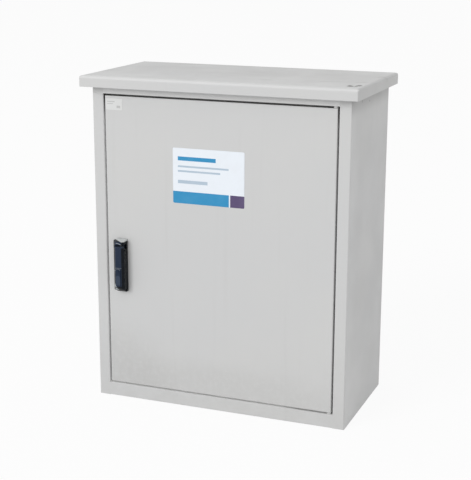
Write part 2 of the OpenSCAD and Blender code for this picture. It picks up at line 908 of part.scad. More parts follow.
// Corner pivots
module pivot_pin() {
  cylinder(h = door_gap - collar_clear, d = collar_d);
  translate([0, 0, -sheet_t - nut_h])
    cylinder(h = sheet_t + nut_h + cut, d = pin_d);
  cylinder(h = door_gap + bush_l, d = pin_d);
}

module upper_pivot_pin() {
  color(grey)
    translate([hinge_x, hinge_y, open_z1])
      rotate([180, 0, 0])
        pivot_pin();
}

module lower_pivot_pin() {
  color(grey)
    translate([hinge_x, hinge_y, open_z0])
      pivot_pin();
}

module pivot_nut() {
  difference() {
    cylinder(h = screw_head_h, d = pivot_nut_af / cos(30), $fn = 6);
    translate([0, 0, -cut])
      cylinder(h = screw_head_h + 2 * cut, d = pin_d + 2 * run_clear);
  }
}

module pivot_nuts() {
  color(zinc) {
    translate([hinge_x, hinge_y, open_z1 + sheet_t])
      pivot_nut();
    translate([hinge_x, hinge_y, open_z0 - sheet_t - screw_head_h])
      pivot_nut();
  }
}

// Door
module door_plan_section() {
  rect(-door_x, door_x, front_y + door_r, door_back);
  rect(door_r - door_x, door_x - door_r, front_y, door_back);
  for (x = [door_r - door_x, door_x - door_r])
    translate([x, front_y + door_r])
      circle(r = door_r);
}

module door_side_section() {
  rect(front_y + door_r, door_back, door_z0, door_z1);
  rect(front_y, door_back, door_z0 + door_r, door_z1 - door_r);
  for (z = [door_z0 + door_r, door_z1 - door_r])
    translate([front_y + door_r, z])
      circle(r = door_r);
}

module door_block() {
  intersection() {
    translate([0, 0, door_z0])
      linear_extrude(door_z1 - door_z0)
        door_plan_section();
    along_x(-door_x, door_x)
      door_side_section();
  }
}

module door_pan() {
  lip_x = door_x - door_lip_w;
  color(grey)
    difference() {
      door_block();
      box(door_sheet - door_x, door_x - door_sheet, door_in, door_back - door_sheet,
        door_z0 + door_sheet, door_z1 - door_sheet);
      box(-lip_x, lip_x, door_in, door_back + cut, door_z0 + door_lip_w, door_z1 - door_lip_w);
      rod_along_y(handle_x, spindle_z, front_y - cut, door_in + cut, door_spindle_d);
      for (z = [upper_screw_z, lower_screw_z, low_screw_z])
        rod_along_y(handle_x, z, front_y - cut, door_in + cut, screw_d + 2 * hole_clear);
      for (z = [door_z0, door_z1 - door_sheet])
        translate([hinge_x, hinge_y, z - cut])
          cylinder(h = door_sheet + 2 * cut, d = bush_d);
    }
}

module stiff_section(x) {
  rect(x - stiff_w / 2 - stiff_foot, x - stiff_w / 2 + door_sheet, door_in, door_in + door_sheet);
  rect(x + stiff_w / 2 - door_sheet, x + stiff_w / 2 + stiff_foot, door_in, door_in + door_sheet);
  rect(x - stiff_w / 2, x - stiff_w / 2 + door_sheet, door_in, door_in + stiff_d);
  rect(x + stiff_w / 2 - door_sheet, x + stiff_w / 2, door_in, door_in + stiff_d);
  rect(x - stiff_w / 2, x + stiff_w / 2, door_in + stiff_d - door_sheet, door_in + stiff_d);
}

module door_stiffeners() {
  z0 = door_z0 + door_lip_w + 2 * cut;
  z1 = door_z1 - door_lip_w - 2 * cut;
  color(grey)
    translate([0, 0, z0])
      linear_extrude(z1 - z0)
        for (x = [stiff_lock_x, stiff_hinge_x])
          stiff_section(x);
}

module door_seal() {
  color(black)
    ring_y(seal_lock_in - door_x, door_x - seal_in, door_z0 + seal_in, door_z1 - seal_in,
      door_back, door_back + seal_t, seal_w, seal_w, seal_w, seal_w);
}

module pivot_bush() {
  difference() {
    cylinder(h = bush_l, d = bush_d);
    translate([0, 0, -cut])
      cylinder(h = bush_l + 2 * cut, d = pin_d + 2 * run_clear);
  }
}

module upper_pivot_bush() {
  color(nylon)
    translate([hinge_x, hinge_y, door_z1 - bush_l])
      pivot_bush();
}

module lower_pivot_bush() {
  color(nylon)
    translate([hinge_x, hinge_y, door_z0])
      pivot_bush();
}

// Swing handle
module wedge_section() {
  polygon([
    [handle_x - base_w / 2, base_back],
    [handle_x + base_w / 2, base_back],
    [handle_x + base_w / 2, lever_back - lever_side_t],
    [handle_x + lever_face_w / 2, lever_face],
    [handle_x - lever_face_w / 2, lever_face],
    [handle_x - base_w / 2, lever_back - lever_side_t]
  ]);
}

module handle_base() {
  color(black)
    difference() {
      union() {
        along_y(base_front, base_back)
          round_rect(handle_x - base_w / 2, handle_x + base_w / 2, handle_z, handle_top, base_r);
        difference() {
          intersection() {
            along_y(lever_face, base_back)
              round_rect(handle_x - base_w / 2, handle_x + base_w / 2, handle_z, handle_top, base_r);
            translate([0, 0, spindle_z - cut])
              linear_extrude(handle_top - spindle_z + 2 * cut)
                wedge_section();
            along_x(handle_x - base_w / 2, handle_x + base_w / 2)
              polygon([
                [base_back, spindle_z],
                [base_back, handle_top],
                [base_front, handle_top],
                [lever_face, handle_top - wedge_drop],
                [lever_face, spindle_z]
              ]);
          }
          rod_along_y(handle_x, spindle_z, lever_face - cut, base_front, 2 * seat_r);
          box(handle_x, handle_x + base_w, lever_face - cut, base_front, spindle_z - cut, spindle_z + seat_r);
        }
      }
      rod_along_y(handle_x, spindle_z, base_front - cut, base_back + cut, spindle_head_d + 2 * run_clear);
      for (z = [upper_screw_z, lower_screw_z, low_screw_z])
        rod_along_y(handle_x, z, base_back - screw_in, base_back + cut, screw_d + 2 * run_clear);
    }
}

module handle_gasket() {
  color(seal_black)
    difference() {
      along_y(base_back, front_y)
        round_rect(handle_x - base_w / 2, handle_x + base_w / 2, handle_z, handle_top, base_r);
      rod_along_y(handle_x, spindle_z, base_back - cut, front_y + cut, door_spindle_d);
      for (z = [upper_screw_z, lower_screw_z, low_screw_z])
        rod_along_y(handle_x, z, base_back - cut, front_y + cut, screw_d + 2 * hole_clear);
    }
}

module handle_screw(z, seat) {
  rod_along_y(handle_x, z, base_back - screw_in + hole_clear, seat + cut, screw_d);
  hex_along_y(handle_x, z, seat, seat + screw_head_h, screw_head_af);
}

module handle_screws() {
  color(zinc) {
    handle_screw(upper_screw_z, door_in + bracket_t);
    handle_screw(lower_screw_z, door_in + bracket_t);
    handle_screw(low_screw_z, door_in);
  }
}

// Outlines of the lever: from the front, in section and from the side
module lever_outline() {
  translate([handle_x, spindle_z])
    circle(r = lever_w / 2);
  rect(handle_x - lever_w / 2, handle_x + lever_w / 2, lever_low + lever_w / 4, spindle_z);
  round_rect(handle_x - lever_w / 2, handle_x + lever_w / 2, lever_low, lever_low + lever_w, lever_w / 4);
}

module lever_section() {
  polygon([
    [handle_x - lever_w / 2, lever_back],
    [handle_x + lever_w / 2, lever_back],
    [handle_x + lever_w / 2, lever_back - lever_side_t],
    [handle_x + lever_face_w / 2, lever_face],
    [handle_x - lever_face_w / 2, lever_face],
    [handle_x - lever_w / 2, lever_back - lever_side_t]
  ]);
}

module lever_side() {
  rect(lever_face + lever_end_r, lever_back, lever_low, spindle_z);
  rect(lever_face, lever_back, lever_low + lever_end_r, spindle_z);
  translate([lever_face + lever_end_r, lever_low + lever_end_r])
    circle(r = lever_end_r);
  intersection() {
    translate([lever_pin_y, spindle_z])
      circle(r = lever_nose_r);
    polygon([
      [lever_face, spindle_z - cut],
      [lever_back, spindle_z - cut],
      [lever_back, spindle_z],
      [lever_pin_y - lever_relief_y, spindle_z + lever_nose_r],
      [lever_face, spindle_z + lever_nose_r]
    ]);
  }
}

module handle_lever() {
  pocket_x = lug_w / 2 + slide_clear;
  color(black)
    difference() {
      intersection() {
        along_y(lever_face, lever_back)
          lever_outline();
        translate([0, 0, lever_low])
          linear_extrude(spindle_z + lever_w - lever_low)
            lever_section();
        along_x(handle_x - lever_w / 2, handle_x + lever_w / 2)
          lever_side();
      }
      box(handle_x - pocket_x, handle_x + pocket_x, lever_pin_y - lug_r - lug_front, lever_back + cut,
        spindle_z - lug_r - slide_clear, spindle_z + lug_r + lug_up);
      translate([handle_x - lever_w, lever_pin_y, spindle_z])
        rotate([0, 90, 0])
          cylinder(h = 2 * lever_w, d = lever_pin_d + 2 * run_clear);
      rod_along_y(handle_x, lock_up, lever_face - cut, lever_face + lock_back_in, lock_d + 2 * run_clear);
      rod_along_y(handle_x, cover_pin_z, lever_face - cut, lever_face + rivet_in, rivet_d + 2 * run_clear);
    }
}

module lever_pin() {
  color(zinc)
    translate([handle_x - lever_pin_l / 2, lever_pin_y, spindle_z])
      rotate([0, 90, 0])
        cylinder(h = lever_pin_l, d = lever_pin_d);
}

module lock_cylinder() {
  color(nickel)
    difference() {
      rod_along_y(handle_x, lock_up, lever_face + lock_face_in, lever_face + lock_back_in - cut / 2,
        lock_d);
      rod_along_y(handle_x, lock_up, lever_face - cut, lever_face + plug_back_in, plug_d + 2 * run_clear);
    }
}

module lock_plug() {
  color(brass)
    difference() {
      rod_along_y(handle_x, lock_up, lever_face + lock_face_in, lever_face + plug_back_in - hole_clear,
        plug_d);
      box(handle_x - key_w / 2, handle_x + key_w / 2, lever_face - cut, lever_face + lock_face_in + key_in,
        lock_up - key_h / 2, lock_up + key_h / 2);
    }
}

module dust_cover() {
  color(black)
    difference() {
      along_y(cover_face, cover_back)
        round_rect(handle_x - cover_w / 2, handle_x + cover_w / 2, cover_low, cover_top,
          cover_w / 2 - cover_flat);
      rod_along_y(handle_x, cover_pin_z, cover_face - cut, cover_back + cut, rivet_d + 2 * run_clear);
    }
}

module cover_rivet() {
  head = cover_face - slide_clear;
  color(black) {
    rod_along_y(handle_x, cover_pin_z, head - cut / 2, lever_face + rivet_in - hole_clear, rivet_d);
    rod_along_y(handle_x, cover_pin_z, head - rivet_head_h, head, rivet_head_d);
  }
}

// Spindle and its pinion
module spindle() {
  color(zinc)
    difference() {
      union() {
        rod_along_y(handle_x, spindle_z, base_front, base_back, spindle_head_d);
        rod_along_y(handle_x, spindle_z, base_back - cut, gear_y0, spindle_d);
        box(handle_x - square_w / 2, handle_x + square_w / 2, gear_y0 - cut, gear_y1,
          spindle_z - square_w / 2, spindle_z + square_w / 2);
        box(handle_x - lug_w / 2, handle_x + lug_w / 2, lever_pin_y, base_front + cut,
          spindle_z - lug_r, spindle_z + lug_r);
        translate([handle_x - lug_w / 2, lever_pin_y, spindle_z])
          rotate([0, 90, 0])
            cylinder(h = lug_w, r = lug_r);
      }
      translate([handle_x - lug_w, lever_pin_y, spindle_z])
        rotate([0, 90, 0])
          cylinder(h = 2 * lug_w, d = lever_pin_d + 2 * run_clear);
      rod_along_y(handle_x, spindle_z, gear_y1 - end_screw_in - cut, gear_y1 + cut,
        end_screw_d + 2 * run_clear);
    }
}

function involute(a) = tan(a) * 180 / PI - a;
function tooth_half(r) = 90 / gear_n - gear_slack * 90 / (PI * gear_r) + involute(gear_angle)
  - involute(acos(min(1, gear_base / r)));
function flank_r(i) = gear_base + (gear_tip - gear_base) * i / gear_steps;
function polar(r, a) = [r * cos(a), r * sin(a)];
function tooth_points(c) = concat(
  [polar(gear_root, c - tooth_half(gear_base))],
  [for (i = [0 : gear_steps]) polar(flank_r(i), c - tooth_half(flank_r(i)))],
  [for (i = [gear_steps : -1 : 0]) polar(flank_r(i), c + tooth_half(flank_r(i)))],
  [polar(gear_root, c + tooth_half(gear_base))]
);

module pinion() {
  hole = square_w / 2 + run_clear;
  color(zinc)
    translate([handle_x, 0, spindle_z])
      difference() {
        along_y(gear_y0, gear_y1)
          polygon([for (k = [0 : gear_n - 1]) each tooth_points(k * 360 / gear_n)]);
        box(-hole, hole, gear_y0 - cut, gear_y1 + cut, -hole, hole);
      }
}

module spindle_screw() {
  color(zinc) {
    rod_along_y(handle_x, spindle_z, gear_y1 - end_screw_in, gear_y1 + cut, end_screw_d);
    rod_along_y(handle_x, spindle_z, gear_y1, gear_y1 + end_washer_h, end_washer_d);
    hex_along_y(handle_x, spindle_z, gear_y1 + end_washer_h, gear_y1 + end_washer_h + screw_head_h,
      end_head_af);
  }
}

// Rod lock
rack_root_half = gear_pitch / 4 - gear_slack / 2 + gear_ded * tan(gear_angle);
rack_tip_half = gear_pitch / 4 - gear_slack / 2 - gear_add * tan(gear_angle);
function rack_tooth(c) = [
  [rack_back_x, c + rack_root_half],
  [gear_r - gear_add, c + rack_tip_half],
  [gear_r - gear_add, c - rack_tip_half],
  [rack_back_x, c - rack_root_half]
];

// Rod for the side at positive x of the pinion, moving up to lock
module rod_shape(end) {
  low = -(rack_far_n + 0.5) * gear_pitch;
  polygon(concat(
    [[rack_back_x, low], [rack_out_x, low], [rack_out_x, end], [rack_back_x, end]],
    [for (k = [rack_near_n - 1 : -1 : -rack_far_n]) each rack_tooth((k + 0.5) * gear_pitch)]
  ));
}

module upper_rod() {
  color(zinc)
    translate([handle_x, 0, spindle_z])
      along_y(rod_y0, rod_y1)
        rod_shape(rod_up_end - spindle_z);
}

module lower_rod() {
  color(zinc)
    translate([handle_x, 0, spindle_z])
      along_y(rod_y0, rod_y1)
        rotate(180)
          rod_shape(spindle_z - rod_low_end);
}

module lock_bracket() {
  color(zinc)
    translate([handle_x, 0, 0])
      difference() {
        union() {
          box(-bracket_out_x, bracket_out_x, web_front, web_back, lower_foot_z, upper_foot_z);
          for (side = [0, 1])
            mirror([side, 0, 0])
              box(bracket_in_x, bracket_out_x, web_front, bracket_flange_y, lower_foot_z, upper_foot_z);
          box(-foot_w / 2, foot_w / 2, door_in, web_back, upper_foot_z - bracket_t, upper_foot_z);
          box(-foot_w / 2, foot_w / 2, door_in, web_back, lower_foot_z, lower_foot_z + bracket_t);
          box(-foot_w / 2, foot_w / 2, door_in, door_in + bracket_t,
            upper_foot_z - bracket_t, upper_foot_z + foot_l);
          box(-foot_w / 2, foot_w / 2, door_in, door_in + bracket_t,
            lower_foot_z - foot_l, lower_foot_z + bracket_t);
        }
        rod_along_y(0, spindle_z, web_front - cut, web_back + cut, spindle_d + 2 * run_clear);
        for (z = [upper_screw_z, lower_screw_z])
          rod_along_y(0, z, door_in - cut, door_in + bracket_t + cut, screw_d + 2 * hole_clear);
      }
}

// Slotted angle that guides a rod, for the rod at positive x
module rod_guide(z) {
  slot_x0 = rack_back_x - slide_clear;
  slot_x1 = rack_out_x + slide_clear;
  difference() {
    union() {
      box(guide_x0, guide_x1, door_in, door_in + bracket_t, z - foot_l, z + bracket_t);
      box(guide_x0, guide_x1, door_in, rod_y1 + guide_reach, z, z + bracket_t);
      box(guide_x0, slot_x1 + guide_rim, rod_y0 - guide_rim, rod_y1 + guide_reach, z, z + bracket_t);
    }
    box(slot_x0, slot_x1, rod_y0 - slide_clear, rod_y1 + slide_clear, z - cut, z + bracket_t + cut);
  }
}

module upper_rod_guide() {
  color(zinc)
    translate([handle_x, 0, 0])
      rod_guide(rod_up_end - guide_in);
}

module lower_rod_guide() {
  color(zinc)
    translate([handle_x, 0, 0])
      mirror([1, 0, 0])
        translate([0, 0, rod_low_end + guide_in])
          mirror([0, 0, 1])
            rod_guide(0);
}

casing_wrap();
top_panel();
floor_panel();
roof_cap();
roof_seal();
roof_nuts();
gland_plate();
gland_gasket();
gland_screws();
cable_grommets();
mounting_plate();
plate_studs();
plate_nuts();
cable_rail();
rail_brackets();
rail_bolts();
earth_bar();
earth_supports();
earth_bolts();
upper_pivot_pin();
lower_pivot_pin();
pivot_nuts();
door_pan();
door_stiffeners();
door_seal();
upper_pivot_bush();
lower_pivot_bush();
handle_base();
handle_gasket();
handle_screws();
lock_bracket();
upper_rod_guide();
lower_rod_guide();
spindle();
pinion();
spindle_screw();
handle_lever();
lever_pin();
cover_rivet();
lock_cylinder();
lock_plug();
dust_cover();
upper_rod();
lower_rod();
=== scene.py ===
from math import radians
import bpy
import bmesh
from mathutils import Euler, Matrix, Vector


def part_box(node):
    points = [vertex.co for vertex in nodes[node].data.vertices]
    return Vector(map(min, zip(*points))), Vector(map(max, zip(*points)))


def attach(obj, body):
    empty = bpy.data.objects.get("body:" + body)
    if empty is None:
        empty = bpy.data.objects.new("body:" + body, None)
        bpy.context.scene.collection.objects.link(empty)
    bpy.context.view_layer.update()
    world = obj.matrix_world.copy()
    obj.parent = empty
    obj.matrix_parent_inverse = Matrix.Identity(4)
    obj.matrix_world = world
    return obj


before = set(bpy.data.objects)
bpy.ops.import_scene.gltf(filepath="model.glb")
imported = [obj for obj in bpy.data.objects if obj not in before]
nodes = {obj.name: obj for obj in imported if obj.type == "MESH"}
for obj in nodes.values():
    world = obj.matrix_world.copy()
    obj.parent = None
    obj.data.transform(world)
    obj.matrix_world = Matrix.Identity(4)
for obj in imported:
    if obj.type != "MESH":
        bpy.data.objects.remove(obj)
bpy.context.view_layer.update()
scene = bpy.context.scene
scene.view_settings.view_transform = "Standard"
print("frame loaded,", len(nodes), "pieces")

# faces of the frame that the finishes are placed by
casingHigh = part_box("casing_wrap")[1]
roofLow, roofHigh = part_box("roof_cap")
doorLow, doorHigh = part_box("door_pan")
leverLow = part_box("handle_lever")[0]
doorFace = doorLow.y
roofTop = roofHigh.z


# small helpers for shader nodes
def startMaterial(name):
    mat = bpy.data.materials.new(name)
    mat.use_nodes = True
    at = mat.node_tree.nodes.new("ShaderNodeTexCoord").outputs["Object"]
    return mat, mat.node_tree.nodes["Principled BSDF"], at


def plug(mat, socket, value):
    if isinstance(value, bpy.types.NodeSocket):
        mat.node_tree.links.new(value, socket)
    else:
        socket.default_value = value


def addNode(mat, kind, sockets, **settings):
    made = mat.node_tree.nodes.new("ShaderNode" + kind)
    for key, value in settings.items():
        setattr(made, key, value)
    for key, value in sockets.items():
        plug(mat, made.inputs[key], value)
    return made


def axes(mat, at):
    return addNode(mat, "SeparateXYZ", {0: at}).outputs


def calc(mat, how, first, *others):  # one Math node for each further value
    for other in others:
        first = addNode(mat, "Math", {0: first, 1: other}, operation=how).outputs[0]
    return first


def awayFrom(mat, value, middle=0.0):  # how far a value lies from the middle, on either side
    off = calc(mat, "SUBTRACT", value, middle)
    return addNode(mat, "Math", {0: off}, operation="ABSOLUTE").outputs[0]


def vectorCalc(mat, how, a, b):
    return addNode(mat, "VectorMath", {0: a, 1: b}, operation=how).outputs[0]


def distance(mat, at, point):
    return addNode(mat, "VectorMath", {0: at, 1: point}, operation="DISTANCE").outputs["Value"]


def span(mat, value, low, high, toLow=0.0, toHigh=1.0):  # soft step from low to high
    sockets = {"Value": value, "From Min": low, "From Max": high, "To Min": toLow, "To Max": toHigh}
    return addNode(mat, "MapRange", sockets, interpolation_type="SMOOTHSTEP").outputs[0]


def tint(mat, amount, a, b):
    return addNode(mat, "Mix", {0: amount, 6: a, 7: b}, data_type="RGBA").outputs[2]


def noiseAt(mat, at, scale, detail=2.0, rough=0.5):
    sockets = {"Vector": at, "Scale": scale, "Detail": detail, "Roughness": rough}
    return addNode(mat, "TexNoise", sockets).outputs[0]


def patches(mat, at, noise, edges):  # noise is scale, detail, roughness; edges are what span takes
    return span(mat, noiseAt(mat, at, *noise), *edges)


def stretched(mat, at, scale, turn=(0, 0, 0)):
    return addNode(mat, "Mapping", {"Vector": at, "Scale": scale, "Rotation": turn}).outputs[0]


def nearPoint(mat, at, point, full, none):  # 1 inside full, 0 beyond none
    return span(mat, distance(mat, at, point), none, full)


def wander(mat, at, scale, reach, detail=4.0, rough=0.6):  # places pushed about, for ragged outlines
    noise = addNode(mat, "TexNoise", {"Vector": at, "Scale": scale, "Detail": detail, "Roughness": rough})
    push = vectorCalc(mat, "SUBTRACT", noise.outputs["Color"], (0.5, 0.5, 0.5))  # the noise's own middle
    push = vectorCalc(mat, "MULTIPLY", push, (reach, reach, 0))
    return vectorCalc(mat, "ADD", at, push)


def smear(mat, at, middle, reach, turn=0.0, core=0.40):  # soft oval patch, reach gives its half sizes
    sockets = {"Vector": at, "Location": middle, "Scale": reach, "Rotation": (0, 0, turn)}
    local = addNode(mat, "Mapping", sockets, vector_type="TEXTURE").outputs[0]
    away = addNode(mat, "VectorMath", {0: local}, operation="LENGTH").outputs["Value"]
    return span(mat, away, 1.0, core)


def raised(mat, shader, height, strength, depth):
    bump = addNode(mat, "Bump", {"Height": height, "Strength": strength, "Distance": depth})
    plug(mat, shader.inputs["Normal"], bump.outputs[0])


# powder coat of casing, roof and door
coat = {
    "grey": (0.598, 0.601, 0.602, 1),
    "warm": (0.607, 0.608, 0.604, 1),
    # dust tone, also used for painted shade on the roof's side ends
    "dustAndShade": (0.452, 0.450, 0.440, 1),
    "chipAndDentShade": (0.105, 0.100, 0.094, 1),
    "grime": (0.150, 0.146, 0.138, 1),
    # pale tone for painted light
    "paintedLight": (0.715, 0.717, 0.715, 1),
    "paintedGapLight": (0.900, 0.900, 0.895, 1),
    # patches: (scale, detail, roughness) of the noise, then (from, to, least, most)
    "clouds": ((2.6, 3), (0.35, 0.65)),
    "streakSize": (34, 34, 1.3),
    "streaks": ((1.0, 4, 0.6), (0.56, 0.80, 0, 0.11)),
    "flecks": ((150, 3, 0.7), (0.66, 0.80, 0, 0.10)),
    "splashY": (doorFace + 0.020, doorFace + 0.004),  # only on the front, more of it near the ground
    "splashZ": (0.30, 0.0),
    "splashBreaks": ((14, 5, 0.65), (0.30, 0.70, 0.3, 1.0)),
    "chipBreaks": ((420, 3), (0.25, 0.55)),
    "smearEdge": (38, 0.030),
    "smearBreaks": ((60, 4, 0.65), (0.25, 0.60, 0.35, 1.0)),
    "gloss": ((9, 4, 0.6), (0.3, 0.7, 0.36, 0.47)),
    "specular": 0.42,
    "peel": (620.0, 2),
    "peelBump": (0.10, 0.0004),
}


def coatColour(mat, at, splash=0.0, clean=0.0, chips=(), smears=()):
    colour = tint(mat, patches(mat, at, *coat["clouds"]), coat["grey"], coat["warm"])
    # painted light: lifts the paint towards the pale tone
    if clean:
        colour = tint(mat, clean, colour, coat["paintedLight"])
    tall = stretched(mat, at, coat["streakSize"])
    colour = tint(mat, patches(mat, tall, *coat["streaks"]), colour, coat["dustAndShade"])
    colour = tint(mat, patches(mat, at, *coat["flecks"]), colour, coat["dustAndShade"])
    if splash:
        xyz = axes(mat, at)
        front = span(mat, xyz["Y"], *coat["splashY"], 0, splash)
        low = span(mat, xyz["Z"], *coat["splashZ"])
        dirt = calc(mat, "MULTIPLY", low, patches(mat, at, *coat["splashBreaks"]), front)
        colour = tint(mat, dirt, colour, coat["dustAndShade"])
    for point, full, none, amount in chips:
        spot = nearPoint(mat, at, point, full, none)
        spot = calc(mat, "MULTIPLY", spot, patches(mat, at, *coat["chipBreaks"]), amount)
        colour = tint(mat, spot, colour, coat["chipAndDentShade"])
    if smears:
        ragged = wander(mat, at, *coat["smearEdge"])
        for middle, reach, turn, amount in smears:
            oval = smear(mat, ragged, middle, reach, turn)
            dirt = calc(mat, "MULTIPLY", oval, patches(mat, at, *coat["smearBreaks"]), amount)
            colour = tint(mat, dirt, colour, coat["dustAndShade"])
    return colour


def coatShader(mat, shader, at, colour):
    plug(mat, shader.inputs["Base Color"], colour)
    plug(mat, shader.inputs["Roughness"], patches(mat, at, *coat["gloss"]))
    shader.inputs["Specular IOR Level"].default_value = coat["specular"]
    raised(mat, shader, noiseAt(mat, at, *coat["peel"]), *coat["peelBump"])


# painted shade in the gap around the door: dark along the top, a little on the hinge side; painted
# lightening of the gap elsewhere
gapLightAndShade = {
    "front": (doorFace + 0.0012, doorFace + 0.0030),  # it starts behind the front bend
    "back": (doorFace + 0.0240, doorFace + 0.0160),
    "sillBack": (doorFace + 0.0262, doorFace + 0.0250),
    "breaks": ((26, 4, 0.6), (0.30, 0.60, 0.85, 1.0)),
    "topZ": (doorHigh.z - 0.085, doorHigh.z + 0.001),
    "hingeX": (0.20, 0.28),
    "hingeShare": 0.28,
    "sillShare": 0.22,
    "doorEnds": (doorLow.z + 0.0015, doorHigh.z - 0.0015),
    "doorEdgeX": doorHigh.x - 0.0010,
    "jambX": doorLow.x - 0.0010,
    "jambReach": (0.006, 0.005),
    "headX": doorHigh.x + 0.0065,
}


def rebateGrime(mat, at, colour, where):
    xyz = axes(mat, at)
    back = gapLightAndShade["sillBack" if where == "sill" else "back"]
    hingeShare = gapLightAndShade["sillShare" if where == "sill" else "hingeShare"]
    strip = calc(mat, "MULTIPLY", span(mat, xyz["Y"], *gapLightAndShade["front"]), span(mat, xyz["Y"], *back))
    hinge = span(mat, xyz["X"], *gapLightAndShade["hingeX"], 0, hingeShare)
    share = calc(mat, "MAXIMUM", span(mat, xyz["Z"], *gapLightAndShade["topZ"]), hinge)
    edge = 1.0
    if where == "door":  # its two ends and its hinge side
        low, high = gapLightAndShade["doorEnds"]
        below = calc(mat, "LESS_THAN", xyz["Z"], low)
        above = calc(mat, "GREATER_THAN", xyz["Z"], high)
        beside = calc(mat, "GREATER_THAN", xyz["X"], gapLightAndShade["doorEdgeX"])
        edge = calc(mat, "MAXIMUM", below, above, beside)
    if where == "jamb":  # the lock side of the frame
        edge = span(mat, awayFrom(mat, xyz["X"], gapLightAndShade["jambX"]), *gapLightAndShade["jambReach"])
    if where == "head":
        edge = calc(mat, "LESS_THAN", awayFrom(mat, xyz["X"]), gapLightAndShade["headX"])
    # the dark tone is painted shade in the recess, the pale tone is painted lightening of it
    dirt = tint(mat, share, coat["paintedGapLight"], coat["grime"])
    amount = calc(mat, "MULTIPLY", strip, patches(mat, at, *gapLightAndShade["breaks"]), edge)
    return tint(mat, amount, colour, dirt)


# the casing's sides: painted shadow under the edge of the roof, painted highlight towards the front bend
sideLightAndShade = {
    "outerX": (casingHigh.x - 0.0025, casingHigh.x - 0.0005),
    "bendHighlightY": (doorFace + 0.11, doorFace, 0, 0.34),
    "eaveShadeZ": (roofLow.z - 0.0595, roofLow.z - 0.0075, 0, 0.36),
}


def paintSideLightAndShade(mat, at, colour):
    xyz = axes(mat, at)
    side = span(mat, awayFrom(mat, xyz["X"]), *sideLightAndShade["outerX"])
    # painted highlight on the side near the rounded front corner
    bendHighlight = calc(mat, "MULTIPLY", side, span(mat, xyz["Y"], *sideLightAndShade["bendHighlightY"]))
    colour = tint(mat, bendHighlight, colour, coat["paintedLight"])
    # painted shadow under the roof's eave
    eaveShade = calc(mat, "MULTIPLY", side, span(mat, xyz["Z"], *sideLightAndShade["eaveShadeZ"]))
    return tint(mat, eaveShade, colour, coat["grime"])


def powderCoat(name, rebate=None, sides=False, **dirt):
    mat, shader, at = startMaterial(name)
    colour = coatColour(mat, at, **dirt)
    if sides:
        colour = paintSideLightAndShade(mat, at, colour)
    if rebate:
        colour = rebateGrime(mat, at, colour, rebate)
    coatShader(mat, shader, at, colour)
    return mat


casingDirt = {
    "splash": 0.24,
    "chips": [  # middle, full, none, amount
        ((0.400, -0.020, 0.946), 0.0018, 0.0034, 0.85),
        ((0.400, -0.099, 0.954), 0.0020, 0.0060, 0.60),
        ((-0.3467, -0.200, 0.9627), 0.0026, 0.0050, 0.80),
    ],
}
doorDirt = {
    "splash": 0.14,
    # two darker patches: at the lower left and along the foot of the door
    "smears": [  # middle, half sizes, turn, amount
        ((-0.36, -0.2, 0.06), (0.26, 1, 0.24), 0, 0.34),
        ((0.0, -0.2, 0.05), (0.60, 1, 0.13), 0, 0.26),
    ],
}
casingCoat = powderCoat("casing_coat", "jamb", sides=True, **casingDirt)
doorCoat = powderCoat("door_coat", "door", **doorDirt)
# head rail lifted towards the pale tone: painted light against the roof's shadow on it
headCoat = powderCoat("head_coat", "head", clean=0.60)
sillCoat = powderCoat("sill_coat", "sill", splash=casingDirt["splash"])
insideCoat = powderCoat("inside_coat")

# the roof: dirt that rain left, lighter towards the front, a painted highlight along the front bend,
# painted shade on the side ends, and dark marks round its dent: scuffed paint with painted shade
roofLook = {
    "smears": [  # middle, half sizes, turn, amount
        ((0.309, -0.096, roofTop), (0.056, 0.0080, 1), 0.21, 0.80),
        ((0.391, -0.077, roofTop), (0.028, 0.012, 1), 0.50, 0.70),
        ((0.125, -0.124, roofTop), (0.034, 0.008, 1), -0.07, 0.85),
        ((0.410, 0.066, roofTop), (0.018, 0.030, 1), 0, 0.50),
        ((-0.205, 0.104, roofTop), (0.010, 0.014, 1), 0, 0.50),
        ((-0.05, 0.19, roofTop), (0.42, 0.022, 1), 0, 0.40),
        ((0.10, 0.02, roofTop), (0.30, 0.10, 1), 0.3, 0.20),
    ],
    "flatZ": (roofTop - 0.0012, roofTop - 0.0002),
    "dust": ((7, 4, 0.6), (0.30, 0.70, 0.13, 0.29)),
    "dustY": (-0.20, 0.04, 0.15, 1.0),
    "lighterFrontY": (-0.08, -0.18, 0, 0.24),
    "bendHighlightZ": (roofTop - 0.0070, roofTop - 0.0035),
    "bendHighlightY": (-0.2150, -0.2215, 0, 0.90),
    "sideShadeX": (roofHigh.x - 0.0030, roofHigh.x - 0.0010, 0, 0.24),
    # dark marks round the dent: scuffed paint, and painted shade of the dent's near wall
    "scuffs": [  # middle, half sizes, turn, amount
        ((0.3820, -0.1665, roofTop), (0.0095, 0.0215, 0.02), 0.12, 1.0),
        ((0.4030, -0.1575, roofTop), (0.0120, 0.0205, 0.02), -0.12, 1.0),
        ((0.3940, -0.1795, roofTop), (0.0160, 0.0085, 0.02), 0.25, 0.90),
    ],
    "scuffEdge": (120, 0.016),
    "scuffCore": 0.55,
    "scuffBreaks": ((300, 4, 0.7), (0.28, 0.48, 0.50, 1.0)),
}


